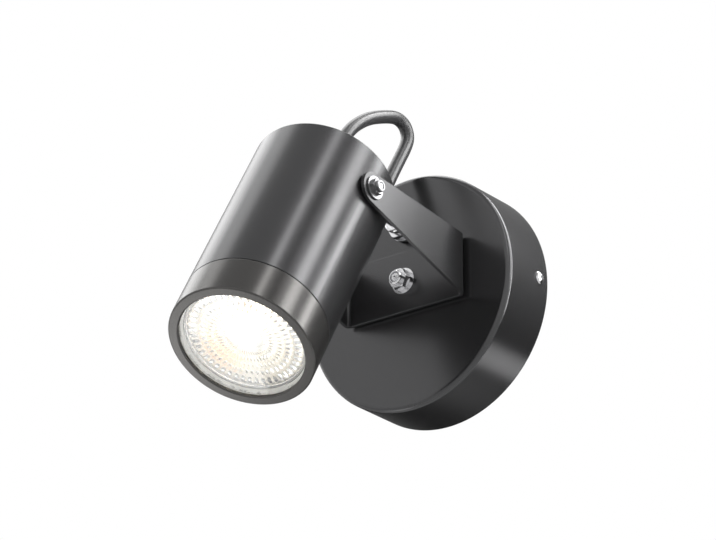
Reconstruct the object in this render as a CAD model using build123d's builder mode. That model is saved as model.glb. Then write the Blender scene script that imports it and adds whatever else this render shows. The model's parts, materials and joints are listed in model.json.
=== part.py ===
from build123d import *

import math
import os

# A pivoting spotlight wall light: a round base for the wall, a bent U-bracket that swivels on it,
# and a cylindrical lamp head that tilts between the bracket's arms.
#
# Millimetres, +Z up. The wall is the plane y = 0, the light stands out from it along -Y, and the
# origin is the centre of the base on the wall.

os.makedirs("parts", exist_ok=True)

# ---------------------------------------------------------------------------------------------
# Driving dimensions
# ---------------------------------------------------------------------------------------------

# Wall base
base_radius = 51.4
base_depth = 27.4
base_wall = 1.5
base_edge_radius = 2.2
gasket_thickness = 0.8
gasket_width = 5.0
gasket_inset = 0.7
gasket_clearance = 0.3

# Mounting strap behind the cover
strap_width = 24.0
strap_thickness = 1.5
strap_bend_radius = 2.0
ear_width = 12.0
ear_reach = 11.0
ear_clearance = 0.3
slot_spacing = 62.0
slot_radius = 2.3
slot_length = 12.0

# Screws in the side of the cover
cover_screw_radius = 1.5
cover_screw_head_radius = 2.8
cover_screw_head_height = 1.5
cover_screw_length = 7.0
cover_screw_out = 6.4
cover_screw_rim = 0.35
cover_screw_socket = 2.0
cover_screw_socket_depth = 0.9

# Terminal block and earth point on the strap
block_along = -6.0
block_width = 25.0
block_height = 20.0
block_depth = 12.0
block_pitch = 8.0
block_tower_width = 6.6
block_waist = 3.0
terminal_radius = 1.7
terminal_row = 9.0
terminal_depth = 5.0
wire_entry_radius = 1.6
wire_entry_depth = 5.5
block_entry_out = 6.5
terminal_sunk = 1.0
fixing_screw_radius = 1.2
fixing_head_radius = 2.2
fixing_recess = 3.0
fixing_head_height = 1.6
earth_out_along = 19.0
earth_screw_radius = 2.0
earth_head_radius = 3.4
earth_head_height = 2.4
pan_flank = 0.6
pan_crown = 0.7
earth_washer_radius = 4.4
earth_washer_thickness = 0.8
earth_tooth_count = 12

# Swivel bolt, on which the bracket turns
swivel_up = 4.0
swivel_radius = 2.2
swivel_flats = 8.0
swivel_head_height = 4.0
swivel_tip_recess = 0.4
swivel_tip_chamfer = 0.5
swivel_tip_dimple = 0.8
swivel_tip_dimple_depth = 0.5
spacer_radius = 8.0
spacer_thickness = 0.9
swivel_washer_radius = 5.6
swivel_washer_thickness = 0.9
spring_washer_radius = 4.6
spring_washer_thickness = 1.2
spring_washer_cut = 0.8
swivel_nut_hex = 2.6
swivel_nut_height = 4.6
swivel_collar_radius = 3.05

# U-bracket
bracket_thickness = 1.5
bracket_height = 26.5
bracket_bend_radius = 3.0
arm_gap = 0.5
arm_flare = 1.6
arm_end_radius = 6.7

# Tilt pivot, seen from the wall and from the base's centre
pivot_out = 91.75
pivot_up = 15.2
tilt_from_down = 30.0
pivot_radius = 1.5
pivot_head_radius = 3.5
pivot_head_height = 2.2
pivot_washer_radius = 4.8
pivot_washer_thickness = 0.7
pivot_nut_flats = 6.0
pivot_nut_hex = 1.6
pivot_nut_height = 3.0
pivot_nut_edge = 0.3
pivot_collar_radius = 2.45
pivot_tip_recess = 0.3
pivot_tip_chamfer = 0.4
pivot_pad_radius = 5.0

# Lamp head, measured from the pivot along its own axis and drawn round the lamp
lamp_space = 3.0
head_wall = 2.0
head_behind = 17.2
head_rear_edge = 0.7
seam_ahead = 67.2
face_ahead = 84.9
seam_gap = 0.35
ring_wall = 1.5
ring_opening_margin = 0.8
ring_lip = 1.4
ring_edge = 0.5
neck_wall = 1.9
thread_clearance = 0.1
glass_thickness = 2.5
glass_clearance = 0.3
glass_seal_thickness = 1.7
glass_seal_clearance = 0.3
ring_seal_inset = 0.7

# GU10 reflector lamp
lamp_recess = 4.3
lamp_radius = 25.0
lamp_length = 50.0
lamp_rim_height = 7.0
lamp_neck_radius = 13.5
lamp_neck_length = 19.0
lamp_shell = 1.2
lamp_fin_count = 24
lamp_fin_depth = 1.4
lamp_fin_width = 1.6
lens_seat = 0.5
lens_thickness = 3.4
lens_ring_radii = (8.0, 13.5, 18.0, 21.5)
lens_ring_step = 0.45
lens_flute_count = 40
lens_flute_depth = 0.55
lens_flute_inner = 8.6
lens_flute_share = 0.94
lens_clearance = 0.1
led_radius = 6.5
led_height = 1.2
pin_spacing = 10.0
pin_neck_radius = 1.5
pin_neck_length = 3.5
pin_head_radius = 2.5
pin_head_length = 3.2

# Lamp holder and the bracket that carries it
holder_radius = 13.5
holder_length = 16.0
holder_gap = 0.3
holder_pin_clearance = 0.25
holder_edge = 1.2
carrier_thickness = 1.2
carrier_width = 13.0
carrier_half_width = 12.0
carrier_foot = 9.0
carrier_window = 4.2
carrier_bend_radius = 1.0
boss_radius = 3.6
boss_height = 2.6
carrier_screw_radius = 1.5
carrier_screw_head_radius = 2.6
carrier_screw_head_height = 1.8
carrier_screw_grip = 3.2
holder_screw_out = 7.2
holder_screw_grip = 4.5

# Cable glands, alike on the base and on the back of the head
gland_inset = 22.1
gland_seal_radius = 6.5
gland_seal_thickness = 1.0
gland_flange_radius = 7.0
gland_flange_thickness = 1.4
gland_flats = 12.0
gland_hex_height = 3.4
gland_cap_radius = 5.3
gland_cap_height = 3.6
gland_cap_round = 1.2
gland_thread_radius = 4.5
gland_thread_inside = 6.0
gland_locknut_flats = 12.0
gland_locknut_height = 2.2

# Earth eyelet under one of the lamp holder's screws
eyelet_radius = 2.6
eyelet_thickness = 0.6
eyelet_barrel_radius = 1.2
eyelet_barrel_length = 4.0
eyelet_core_out = 10.0

# Flexible lead and its cores
lead_radius = 2.8
lead_clearance = 0.1
lead_inside = 8.0
lead_corner_share = 0.45
core_radius = 0.75
core_ring = 1.95
core_bend_radius = 2.5
core_depth = 3.0
core_apart = 3.0
core_straight = 5.4
core_drop = 11.0

# Fits
shaft_clearance = 0.06
screw_clearance = 0.08
nut_edge = 0.4
washer_clearance = 0.03
overshoot = 1.0

# The lead's route between the two glands, chosen by hand: distance from the wall and height.
# The first stretch runs from the base's gland over the top of the loop, the second to the head.
# Their outer ends are the mouths of the glands, and are worked out below.
lower_route = (
    (40.6, 29.3),
    (43.9, 31.9),
    (44.9, 36.0),
    (42.1, 41.8),
    (37.9, 49.3),
    (33.0, 57.6),
    (28.4, 65.2),
    (26.4, 70.5),
    (28.6, 75.2),
    (33.5, 76.7),
    (39.0, 75.5),
    (44.2, 73.4),
)
upper_route = (
    (44.2, 73.4),
    (50.44, 70.88),
    (58.0, 66.4),
    (65.2, 60.5),
    (71.2, 53.0),
    (74.8, 44.56),
)

# ---------------------------------------------------------------------------------------------
# Places worked out from the dimensions
# ---------------------------------------------------------------------------------------------

cover_inside = base_depth - base_wall
gland_up = base_radius - gland_inset
web_back = base_depth + spacer_thickness
web_front = web_back + bracket_thickness
swivel_nut_back = web_front + swivel_washer_thickness + spring_washer_thickness
swivel_nut_front = swivel_nut_back + swivel_nut_height

tilt = math.radians(tilt_from_down)
pivot = Vector(0, -pivot_out, pivot_up)
forward = Vector(0, -math.sin(tilt), -math.cos(tilt))
head_axis = Axis(pivot, forward)

bore_radius = lamp_radius + lamp_space
head_radius = bore_radius + head_wall
ring_opening_radius = lamp_radius + ring_opening_margin
lens_radius = lamp_radius - lens_seat
rear_inside = -head_behind + head_wall
neck_radius = head_radius - ring_wall - thread_clearance
neck_bore = neck_radius - neck_wall
lip_back = face_ahead - ring_lip
glass_back = lip_back - glass_thickness
neck_front = glass_back - glass_seal_thickness

lamp_front = face_ahead - lamp_recess
lamp_back = lamp_front - lamp_length
lens_back = lamp_front - lens_thickness
cavity_floor = lamp_back + lamp_neck_length
holder_front = lamp_back - holder_gap
holder_back = holder_front - holder_length
carrier_back = holder_back - carrier_thickness
boss_front = rear_inside + boss_height
boss_out = carrier_half_width + carrier_foot - boss_radius

# The arms stand off the head by a gap at the pivots and flare a little outwards, so the washers
# and pads keep clear of the slope under them
arm_half_width = head_radius + arm_gap + bracket_thickness
bracket_half_width = arm_half_width - arm_flare
arm_slope = arm_flare / (pivot_out - web_front)
washer_face = arm_half_width + arm_slope * pivot_washer_radius + washer_clearance
pad_face = arm_half_width - bracket_thickness - arm_slope * pivot_pad_radius - washer_clearance
nut_face = washer_face + pivot_washer_thickness

gland_stack = gland_seal_thickness + gland_flange_thickness + gland_hex_height + gland_cap_height
gland_bore = lead_radius + lead_clearance
base_mouth = (base_depth + gland_stack, gland_up)
head_mouth = (
    pivot_out - (head_behind + gland_stack) * math.sin(tilt),
    pivot_up + (head_behind + gland_stack) * math.cos(tilt),
)


def wall_plane(distance, up=0.0, along=0.0):
    """Plane across the base's axis, facing away from the wall: local x is +X, local y is +Z."""
    return Plane(origin=(along, -distance, up), x_dir=(1, 0, 0), z_dir=(0, -1, 0))


def head_plane(distance, along=0.0, aside=0.0):
    """Plane across the head's axis, facing forwards, at a distance ahead of the pivot."""
    side = forward.cross(Vector(1, 0, 0))
    origin = pivot + forward * distance + Vector(along, 0, 0) + side * aside
    return Plane(origin=origin, x_dir=(1, 0, 0), z_dir=forward)


def side_plane(distance, out, up):
    """Plane facing +X at a place seen from the side: local x is +Y, local y is +Z."""
    return Plane(origin=(distance, -out, up), x_dir=(0, 1, 0), z_dir=(1, 0, 0))


def section(face):
    """Plane that holds the axis of a face plane: local x runs outwards, local y along the axis."""
    return Plane(origin=face.origin, x_dir=face.x_dir, z_dir=face.x_dir.cross(face.z_dir))


def turned(face, *outline):
    """Adds a solid of revolution about a face plane's axis, from (radius, height) points."""
    with BuildSketch(section(face)) as profile:
        with BuildLine():
            Polyline(*outline, close=True)
        make_face()
    revolve(profile.sketch, axis=Axis(face.origin, face.z_dir))


def ring(face, outer, inner, height, mode=Mode.ADD):
    """Adds a flat ring or disc that stands on a face plane."""
    with BuildSketch(face) as profile:
        Circle(outer)
        if inner > 0:
            Circle(inner, mode=Mode.SUBTRACT)
    extrude(profile.sketch, amount=height, mode=mode)


def hexagon(part, face, flats, height, edge=nut_edge):
    """Starts a part as a nut or a bolt head: a chamfered round blank that is cut to a hexagon."""
    with BuildSketch(face) as blank:
        Circle(flats / math.sqrt(3))
    extrude(blank.sketch, amount=height)
    chamfer(part.edges().filter_by(GeomType.CIRCLE), edge)
    with BuildSketch(face) as outline:
        RegularPolygon(flats / 2, 6, major_radius=False)
    extrude(outline.sketch, amount=height, mode=Mode.INTERSECT)


def lock_nut(part, face, flats, hex_height, collar, height, bore, edge):
    """A nut with a round collar on its front, which grips the end of the bolt."""
    hexagon(part, face, flats, hex_height, edge)
    turned(
        face,
        (0, hex_height / 2),
        (collar, hex_height / 2),
        (collar, height - edge),
        (collar - edge, height),
        (0, height),
    )
    ring(face, bore, 0, height, Mode.SUBTRACT)


def save(part, label):
    part.part.label = label
    export_step(part.part, f"parts/{label}.step")


# ---------------------------------------------------------------------------------------------
# Wall base
# ---------------------------------------------------------------------------------------------

# The cover: a drawn cup with a rounded front edge, open towards the wall
with BuildPart() as base_cover:
    with BuildSketch(wall_plane(gasket_thickness)):
        Circle(base_radius)
    extrude(amount=base_depth - gasket_thickness)
    fillet(base_cover.edges().filter_by(GeomType.CIRCLE).sort_by(Axis.Y)[0], base_edge_radius)
    offset(amount=-base_wall, openings=base_cover.faces().sort_by(Axis.Y)[-1])
    with Locations(wall_plane(base_depth, swivel_up)):
        Hole(swivel_radius + screw_clearance, depth=2 * base_wall)
    with Locations(wall_plane(base_depth, gland_up)):
        Hole(gland_thread_radius + screw_clearance, depth=2 * base_wall)
    for side in (-1, 1):
        with Locations(Plane(origin=(side * base_radius, -cover_screw_out, 0), z_dir=(side, 0, 0))):
            Hole(cover_screw_radius + screw_clearance, depth=2 * base_wall)
save(base_cover, "base_cover")

# The mounting strap: a steel strip with two slots for the wall screws and two bent ears
ear_face = math.sqrt((base_radius - base_wall) ** 2 - (ear_width / 2) ** 2) - ear_clearance
with BuildPart() as mounting_strap:
    with BuildSketch(Plane.XY.offset(-strap_width / 2)):
        with Locations((0, -ear_reach / 2)):
            Rectangle(2 * ear_face, ear_reach)
    extrude(amount=strap_width)
    fillet(mounting_strap.edges().filter_by(Axis.Z).group_by(Axis.Y)[-1], strap_bend_radius)
    open_sides = mounting_strap.faces().filter_by(Axis.Z) + mounting_strap.faces().sort_by(Axis.Y)[:1]
    offset(amount=-strap_thickness, openings=open_sides)
    # the ears are narrower than the strip
    ear_root = ear_face - strap_thickness - strap_bend_radius
    with BuildSketch(wall_plane(0)):
        for side in (-1, 1):
            corner = (side * (ear_root + ear_face) / 2, (ear_width + strap_width) / 4)
            with Locations(corner, (corner[0], -corner[1])):
                Rectangle(ear_face - ear_root + overshoot, (strap_width - ear_width) / 2)
    extrude(amount=ear_reach, mode=Mode.SUBTRACT)
    with BuildSketch(wall_plane(0)):
        with Locations((-slot_spacing / 2, 0), (slot_spacing / 2, 0)):
            SlotOverall(slot_length, 2 * slot_radius)
        with Locations((block_along, 0)):
            Circle(fixing_screw_radius + screw_clearance)
        with Locations((earth_out_along, 0)):
            Circle(earth_screw_radius + screw_clearance)
    extrude(amount=strap_thickness, mode=Mode.SUBTRACT)
    for side in (-1, 1):
        with Locations(Plane(origin=(side * ear_face, -cover_screw_out, 0), z_dir=(side, 0, 0))):
            Hole(cover_screw_radius + screw_clearance, depth=2 * strap_thickness)
save(mounting_strap, "mounting_strap")

# The foam ring that the cover's rim presses on the wall, notched around the strap
with BuildPart() as base_gasket:
    gasket_radius = base_radius - gasket_inset
    with BuildSketch(wall_plane(0)):
        Circle(gasket_radius)
        Circle(gasket_radius - gasket_width, mode=Mode.SUBTRACT)
        notch = 2 * gasket_clearance
        Rectangle(2 * ear_root + notch, strap_width + notch, mode=Mode.SUBTRACT)
        Rectangle(2 * ear_face + notch, ear_width + notch, mode=Mode.SUBTRACT)
    extrude(amount=gasket_thickness)
save(base_gasket, "base_gasket")

# The two button-head screws in the side of the cover
with BuildPart() as cover_screws:
    screw_seat = Plane(origin=(base_radius, -cover_screw_out, 0), x_dir=(0, 1, 0), z_dir=(1, 0, 0))
    with BuildSketch(section(screw_seat)):
        with BuildLine():
            Polyline(
                (0, cover_screw_head_height),
                (0, -cover_screw_length),
                (cover_screw_radius, -cover_screw_length),
                (cover_screw_radius, 0),
                (cover_screw_head_radius, 0),
                (cover_screw_head_radius, cover_screw_rim),
            )
            TangentArc(
                (0, cover_screw_head_height),
                (cover_screw_head_radius, cover_screw_rim),
                tangent=(1, 0),
            )
        make_face()
    revolve(axis=Axis(screw_seat.origin, screw_seat.z_dir))
    with BuildSketch(screw_seat.offset(cover_screw_head_height)):
        RegularPolygon(cover_screw_socket / 2, 6, major_radius=False)
    extrude(amount=-cover_screw_socket_depth, mode=Mode.SUBTRACT)
    mirror(about=Plane.YZ)
save(cover_screws, "cover_screws")

# The three-pole terminal block on the strap: three towers joined by a lower waist
with BuildPart() as terminal_block:
    with BuildSketch(wall_plane(strap_thickness, along=block_along)):
        Rectangle(block_width, block_height)
    extrude(amount=block_depth - block_waist)
    with BuildSketch(wall_plane(strap_thickness, along=block_along)):
        with GridLocations(block_pitch, 0, 3, 1):
            Rectangle(block_tower_width, block_height - 2 * block_waist)
    extrude(amount=block_depth)
    with BuildSketch(wall_plane(strap_thickness + block_depth, along=block_along)):
        with GridLocations(block_pitch, terminal_row, 3, 2):
            Circle(terminal_radius + screw_clearance)
    extrude(amount=-terminal_depth, mode=Mode.SUBTRACT)
    for end in (-1, 1):
        entry_place = (block_along, -block_entry_out, end * block_height / 2)
        entry = Plane(origin=entry_place, x_dir=(1, 0, 0), z_dir=(0, 0, end))
        with BuildSketch(entry):
            with GridLocations(block_pitch, 0, 3, 1):
                Circle(wire_entry_radius)
        extrude(amount=-wire_entry_depth, mode=Mode.SUBTRACT)
    with Locations(wall_plane(strap_thickness + block_depth, along=block_along)):
        CounterBoreHole(
            fixing_screw_radius + screw_clearance,
            fixing_head_radius + screw_clearance,
            counter_bore_depth=fixing_recess,
            depth=block_depth,
        )
save(terminal_block, "terminal_block")

with BuildPart() as terminal_screws:
    terminal_top = wall_plane(strap_thickness + block_depth - terminal_sunk, along=block_along)
    with BuildSketch(terminal_top):
        with GridLocations(block_pitch, terminal_row, 3, 2):
            Circle(terminal_radius)
    extrude(amount=terminal_sunk - terminal_depth)
    with BuildSketch(terminal_top):
        with GridLocations(block_pitch, terminal_row, 3, 2):
            Rectangle(2 * terminal_radius, terminal_radius / 3)
    extrude(amount=-terminal_radius / 2, mode=Mode.SUBTRACT)
save(terminal_screws, "terminal_screws")

with BuildPart() as block_screw:
    screw_foot = strap_thickness + block_depth - fixing_recess
    turned(
        wall_plane(screw_foot, along=block_along),
        (0, -screw_foot),
        (fixing_screw_radius, -screw_foot),
        (fixing_screw_radius, 0),
        (fixing_head_radius, 0),
        (fixing_head_radius, fixing_head_height * pan_flank),
        (fixing_head_radius * pan_crown, fixing_head_height),
        (0, fixing_head_height),
    )
save(block_screw, "block_screw")

# The earth point: a toothed washer under a screw head
with BuildPart() as earth_washer:
    with BuildSketch(wall_plane(strap_thickness, along=earth_out_along)):
        Circle(earth_washer_radius)
        with PolarLocations(earth_washer_radius, earth_tooth_count):
            Circle(math.pi * earth_washer_radius / earth_tooth_count / 2, mode=Mode.SUBTRACT)
        Circle(earth_screw_radius + screw_clearance, mode=Mode.SUBTRACT)
    extrude(amount=earth_washer_thickness)
save(earth_washer, "earth_washer")

with BuildPart() as earth_screw:
    turned(
        wall_plane(strap_thickness + earth_washer_thickness, along=earth_out_along),
        (0, -strap_thickness - earth_washer_thickness),
        (earth_screw_radius, -strap_thickness - earth_washer_thickness),
        (earth_screw_radius, 0),
        (earth_head_radius, 0),
        (earth_head_radius, earth_head_height * pan_flank),
        (earth_head_radius * pan_crown, earth_head_height),
        (0, earth_head_height),
    )
save(earth_screw, "earth_screw")

# ---------------------------------------------------------------------------------------------
# Swivel bolt with its washers and nut
# ---------------------------------------------------------------------------------------------

with BuildPart() as swivel_bolt:
    bolt_head_back = wall_plane(cover_inside - swivel_head_height, swivel_up)
    hexagon(swivel_bolt, bolt_head_back, swivel_flats, swivel_head_height)
    reach = swivel_nut_front - swivel_tip_recess - cover_inside
    turned(
        wall_plane(cover_inside, swivel_up),
        (0, -swivel_head_height / 2),
        (swivel_radius, -swivel_head_height / 2),
        (swivel_radius, reach - swivel_tip_chamfer),
        (swivel_radius - swivel_tip_chamfer, reach),
        (swivel_tip_dimple, reach),
        (0, reach - swivel_tip_dimple_depth),
    )
save(swivel_bolt, "swivel_bolt")

with BuildPart() as swivel_spacer:
    spacer_seat = wall_plane(base_depth, swivel_up)
    ring(spacer_seat, spacer_radius, swivel_radius + shaft_clearance, spacer_thickness)
save(swivel_spacer, "swivel_spacer")

with BuildPart() as swivel_washer:
    ring(
        wall_plane(web_front, swivel_up),
        swivel_washer_radius,
        swivel_radius + shaft_clearance,
        swivel_washer_thickness,
    )
save(swivel_washer, "swivel_washer")

# The spring washer is a ring that is cut through at one place
with BuildPart() as swivel_spring_washer:
    spring_seat = wall_plane(web_front + swivel_washer_thickness, swivel_up)
    with BuildSketch(spring_seat):
        Circle(spring_washer_radius)
        Circle(swivel_radius + shaft_clearance, mode=Mode.SUBTRACT)
        with Locations((spring_washer_radius / 2, 0)):
            Rectangle(spring_washer_radius, spring_washer_cut, mode=Mode.SUBTRACT)
    extrude(amount=spring_washer_thickness)
save(swivel_spring_washer, "swivel_spring_washer")

with BuildPart() as swivel_nut:
    lock_nut(
        swivel_nut,
        wall_plane(swivel_nut_back, swivel_up),
        swivel_flats,
        swivel_nut_hex,
        swivel_collar_radius,
        swivel_nut_height,
        swivel_radius + shaft_clearance,
        nut_edge,
    )
save(swivel_nut, "swivel_nut")

# ---------------------------------------------------------------------------------------------
# U-bracket: one bent sheet, its arms tapering from the web to the round pivot ends
# ---------------------------------------------------------------------------------------------

with BuildPart() as bracket:
    bracket_front = pivot_out + arm_end_radius + overshoot
    front_half_width = bracket_half_width + arm_slope * (bracket_front - web_front)
    back_half_width = bracket_half_width - arm_slope * bracket_thickness
    with BuildSketch(Plane.XY.offset(pivot_up - 2 * bracket_height)):
        with BuildLine():
            Polyline(
                (-back_half_width, -web_back),
                (back_half_width, -web_back),
                (front_half_width, -bracket_front),
                (-front_half_width, -bracket_front),
                close=True,
            )
        make_face()
    extrude(amount=4 * bracket_height)
    bends = bracket.edges().filter_by(Axis.Z).group_by(Axis.Y)[-1]
    fillet(bends, bracket_bend_radius)
    open_sides = bracket.faces().filter_by(Axis.Z) + bracket.faces().sort_by(Axis.Y)[:1]
    offset(amount=-bracket_thickness, openings=open_sides)
    with BuildSketch(Plane.YZ):
        with Locations((-pivot_out, pivot_up)):
            Circle(arm_end_radius)
        with Locations((-(web_back + web_front) / 2, swivel_up)):
            Rectangle(bracket_thickness, bracket_height)
        make_hull()
    extrude(amount=2 * arm_half_width, both=True, mode=Mode.INTERSECT)
    with Locations(wall_plane(web_front, swivel_up)):
        Hole(swivel_radius + shaft_clearance, depth=2 * bracket_thickness)
    with Locations(side_plane(arm_half_width + overshoot, pivot_out, pivot_up)):
        Hole(pivot_radius + shaft_clearance, depth=2 * (arm_half_width + overshoot))
save(bracket, "bracket")

# ---------------------------------------------------------------------------------------------
# Lamp head: housing, front ring and glass
# ---------------------------------------------------------------------------------------------

# The housing: a deep cup with a threaded neck in front, a hole for each pivot bolt and one for
# the gland, and two bosses on its rear wall
with BuildPart() as head_housing:
    turned(
        head_plane(0),
        (0, -head_behind),
        (head_radius, -head_behind),
        (head_radius, seam_ahead),
        (neck_radius, seam_ahead),
        (neck_radius, neck_front),
        (neck_bore, neck_front),
        (neck_bore, seam_ahead - 2 * head_wall),
        (bore_radius, seam_ahead - 3 * head_wall),
        (bore_radius, rear_inside),
        (0, rear_inside),
    )
    rear_rim = head_housing.edges().filter_by(GeomType.CIRCLE).sort_by(head_axis)[0]
    fillet(rear_rim, head_rear_edge)
    with BuildSketch(head_plane(rear_inside)):
        with Locations((-boss_out, 0), (boss_out, 0)):
            Circle(boss_radius)
    extrude(amount=boss_height)
    with BuildSketch(head_plane(boss_front)):
        with Locations((-boss_out, 0), (boss_out, 0)):
            Circle(carrier_screw_radius + screw_clearance)
    extrude(amount=-carrier_screw_grip, mode=Mode.SUBTRACT)
    with Locations(head_plane(rear_inside)):
        Hole(gland_thread_radius + screw_clearance, depth=2 * head_wall)
    with Locations(side_plane(head_radius, pivot_out, pivot_up)):
        Hole(pivot_radius + screw_clearance, depth=2 * head_radius)
save(head_housing, "head_housing")

# The front ring screws over the neck and holds the glass behind its lip
with BuildPart() as front_ring:
    ring_back = seam_ahead + seam_gap
    ring_bore = head_radius - ring_wall
    turned(
        head_plane(0),
        (ring_bore, ring_back),
        (head_radius - seam_gap / 2, ring_back),
        (head_radius, ring_back + seam_gap / 2),
        (head_radius, face_ahead - ring_edge),
        (head_radius - ring_edge, face_ahead),
        (ring_opening_radius + ring_edge, face_ahead),
        (ring_opening_radius, face_ahead - ring_edge),
        (ring_opening_radius, lip_back),
        (ring_bore, lip_back),
    )
save(front_ring, "front_ring")

# The flat seal in the seam between the housing's shoulder and the ring
with BuildPart() as ring_seal:
    seal_bore = neck_radius + thread_clearance / 2
    ring(head_plane(seam_ahead), head_radius - ring_seal_inset, seal_bore, seam_gap)
save(ring_seal, "ring_seal")

with BuildPart() as front_glass:
    ring(head_plane(glass_back), head_radius - ring_wall - glass_clearance, 0, glass_thickness)
save(front_glass, "front_glass")

# The seal reaches inwards over the lamp's rim, which it centres behind the glass
with BuildPart() as glass_seal:
    rim_bore = lamp_radius + glass_seal_clearance
    ring(head_plane(neck_front), neck_radius, rim_bore, glass_seal_thickness)
save(glass_seal, "glass_seal")

# ---------------------------------------------------------------------------------------------
# GU10 reflector lamp
# ---------------------------------------------------------------------------------------------

# The lamp's body: a conical cup with a cooling neck, a rim around the lens and fins
with BuildPart() as lamp_body:
    turned(
        head_plane(0),
        (0, cavity_floor),
        (led_radius + lamp_shell, cavity_floor),
        (lens_radius - lamp_shell, lens_back),
        (lens_radius + lens_clearance, lens_back),
        (lens_radius + lens_clearance, lamp_front - lens_clearance),
        (lamp_radius, lamp_front - lamp_shell),
        (lamp_radius, lamp_front - lamp_rim_height),
        (lamp_neck_radius, cavity_floor - lamp_shell),
        (lamp_neck_radius, lamp_back),
        (0, lamp_back),
    )
    with BuildSketch(head_plane(lamp_back + lamp_shell)):
        with PolarLocations(lamp_neck_radius, lamp_fin_count):
            Rectangle(2 * lamp_fin_depth, lamp_fin_width)
    extrude(amount=lamp_neck_length - 3 * lamp_shell, mode=Mode.SUBTRACT)
save(lamp_body, "lamp_body")

# One radial flute of the lens: a wedge that widens outwards, laid along +X with its top at z = 0
flute_half_angle = lens_flute_share * math.pi / lens_flute_count
flute_outer = lens_radius + overshoot
with BuildPart() as flute:
    for reach in (lens_flute_inner, flute_outer):
        half_width = reach * math.tan(flute_half_angle)
        with BuildSketch(Plane.YZ.offset(reach)):
            with BuildLine():
                Polyline(
                    (-half_width, lens_ring_step),
                    (half_width, lens_ring_step),
                    (0, -lens_flute_depth - lens_ring_step),
                    close=True,
                )
            make_face()
    loft(ruled=True)

# The lens: stepped rings like a flattened magnifier, crossed by the radial flutes
with BuildPart() as lamp_lens:
    steps = [(0, lens_back), (lens_radius, lens_back)]
    for outer, inner in zip((lens_radius, *lens_ring_radii[::-1]), lens_ring_radii[::-1]):
        steps += [(outer, lamp_front - lens_ring_step), (inner, lamp_front)]
    steps += [(lens_ring_radii[0], lamp_front - lens_ring_step), (0, lamp_front)]
    turned(head_plane(0), *steps)
    with Locations(head_plane(lamp_front)):
        with PolarLocations(0, lens_flute_count):
            add(flute.part, mode=Mode.SUBTRACT)
save(lamp_lens, "lamp_lens")

with BuildPart() as lamp_led:
    ring(head_plane(cavity_floor), led_radius, 0, led_height)
    fillet(lamp_led.edges().filter_by(GeomType.CIRCLE).sort_by(head_axis)[-1], led_height / 2)
save(lamp_led, "lamp_led")

with BuildPart() as lamp_pins:
    turned(
        head_plane(lamp_back, along=pin_spacing / 2),
        (0, 0),
        (pin_neck_radius, 0),
        (pin_neck_radius, -pin_neck_length),
        (pin_head_radius, -pin_neck_length),
        (pin_head_radius, -pin_neck_length - pin_head_length),
        (0, -pin_neck_length - pin_head_length),
    )
    mirror(about=Plane.YZ)
save(lamp_pins, "lamp_pins")

# ---------------------------------------------------------------------------------------------
# Lamp holder, its carrier and screws
# ---------------------------------------------------------------------------------------------

with BuildPart() as lamp_holder:
    with BuildSketch(head_plane(holder_back)):
        Circle(holder_radius)
    extrude(amount=holder_length)
    chamfer(lamp_holder.edges().filter_by(GeomType.CIRCLE), holder_edge)
    with BuildSketch(head_plane(holder_front)):
        with Locations((-pin_spacing / 2, 0), (pin_spacing / 2, 0)):
            Circle(pin_head_radius + holder_pin_clearance)
    extrude(amount=-(pin_neck_length + pin_head_length + holder_pin_clearance), mode=Mode.SUBTRACT)
    with BuildSketch(head_plane(holder_back)):
        with Locations((-core_apart, 0), (core_apart, 0)):
            Circle(core_radius + holder_pin_clearance)
    extrude(amount=core_depth + holder_pin_clearance, mode=Mode.SUBTRACT)
    with BuildSketch(head_plane(holder_back)):
        with Locations((-holder_screw_out, 0), (holder_screw_out, 0)):
            Circle(carrier_screw_radius + screw_clearance)
    extrude(amount=holder_screw_grip, mode=Mode.SUBTRACT)
save(lamp_holder, "lamp_holder")

# The carrier: a hat-shaped steel strip whose feet are screwed to the housing's bosses
with BuildPart() as holder_carrier:
    foot_out = carrier_half_width + carrier_foot
    leg_inside = carrier_half_width - carrier_thickness
    with BuildSketch(section(head_plane(0))):
        with BuildLine():
            FilletPolyline(
                (-foot_out, boss_front),
                (-leg_inside, boss_front),
                (-leg_inside, carrier_back),
                (leg_inside, carrier_back),
                (leg_inside, boss_front),
                (foot_out, boss_front),
                radius=carrier_bend_radius,
            )
            offset(amount=carrier_thickness, side=Side.LEFT)
        make_face()
    extrude(amount=carrier_width / 2, both=True)
    with BuildSketch(head_plane(holder_back)):
        Circle(carrier_window)
        with Locations((-holder_screw_out, 0), (holder_screw_out, 0)):
            Circle(carrier_screw_radius + screw_clearance)
    extrude(amount=-carrier_thickness, mode=Mode.SUBTRACT)
    with BuildSketch(head_plane(boss_front)):
        with Locations((-boss_out, 0), (boss_out, 0)):
            Circle(carrier_screw_radius + screw_clearance)
    extrude(amount=carrier_thickness, mode=Mode.SUBTRACT)
save(holder_carrier, "holder_carrier")


def carrier_screw(seat, reach):
    """Adds a pan-head screw whose head stands on the seat plane and whose shank goes behind it."""
    turned(
        seat,
        (0, -reach),
        (carrier_screw_radius, -reach),
        (carrier_screw_radius, 0),
        (carrier_screw_head_radius, 0),
        (carrier_screw_head_radius, carrier_screw_head_height * pan_flank),
        (carrier_screw_head_radius * pan_crown, carrier_screw_head_height),
        (0, carrier_screw_head_height),
    )


with BuildPart() as carrier_screws:
    foot_seat = head_plane(boss_front + carrier_thickness, along=boss_out)
    carrier_screw(foot_seat, carrier_thickness + carrier_screw_grip - screw_clearance)
    mirror(about=Plane.YZ)
save(carrier_screws, "carrier_screws")

def facing_back(face):
    """The same plane turned to face backwards."""
    return Plane(origin=face.origin, x_dir=face.x_dir, z_dir=-face.z_dir)


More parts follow.
